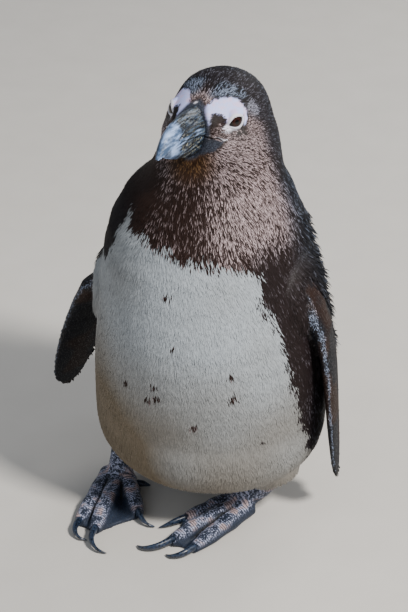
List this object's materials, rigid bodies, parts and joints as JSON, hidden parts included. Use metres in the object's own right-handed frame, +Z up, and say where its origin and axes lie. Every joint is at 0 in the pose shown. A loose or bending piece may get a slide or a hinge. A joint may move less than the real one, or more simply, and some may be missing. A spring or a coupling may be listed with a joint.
{
  "type": "african penguin",
  "caption": "Still, life-size young African penguin, standing hunched on both webbed feet, with one flipper held out and its bill turned aside and down.",
  "frame": {"origin": "middle of the bounding box's underside, on the floor that the feet stand on", "axes": "+Z up, the bird faces -Y, its left side towards +X"},
  "size_m": [0.2264, 0.2106, 0.3301],
  "materials": {
    "plumage_dark": "blackish feathers with a faint blue sheen",
    "plumage_brown": "dark brown feathers with paler, pinkish tips",
    "plumage_pale": "dirty white feathers, stained cream low down and at the side",
    "bare_skin": "matt pink bare skin above and around the eye",
    "bill_horn": "slate horn mottled with pale blue grey and cream",
    "foot_skin": "scaly slate skin with pinkish grey scutes",
    "claw": "dark slate horn, half glossy",
    "eye": "dark reddish brown, wet gloss"
  },
  "bodies": {
    "root": {"head": "plumage_dark", "neck": "plumage_brown", "trunk": "plumage_pale", "tail": "plumage_dark", "bill_upper": "bill_horn", "bill_lower": "bill_horn", "eye_left": "eye", "flipper_left": "plumage_dark", "leg_left": "foot_skin", "foot_left": "foot_skin", "claw_left_1": "claw", "claw_left_2": "claw", "claw_left_3": "claw", "claw_left_4": "claw", "eye_right": "eye", "flipper_right": "plumage_dark", "leg_right": "foot_skin", "foot_right": "foot_skin", "claw_right_1": "claw", "claw_right_2": "claw", "claw_right_3": "claw", "claw_right_4": "claw"}
  },
  "joints": []
}
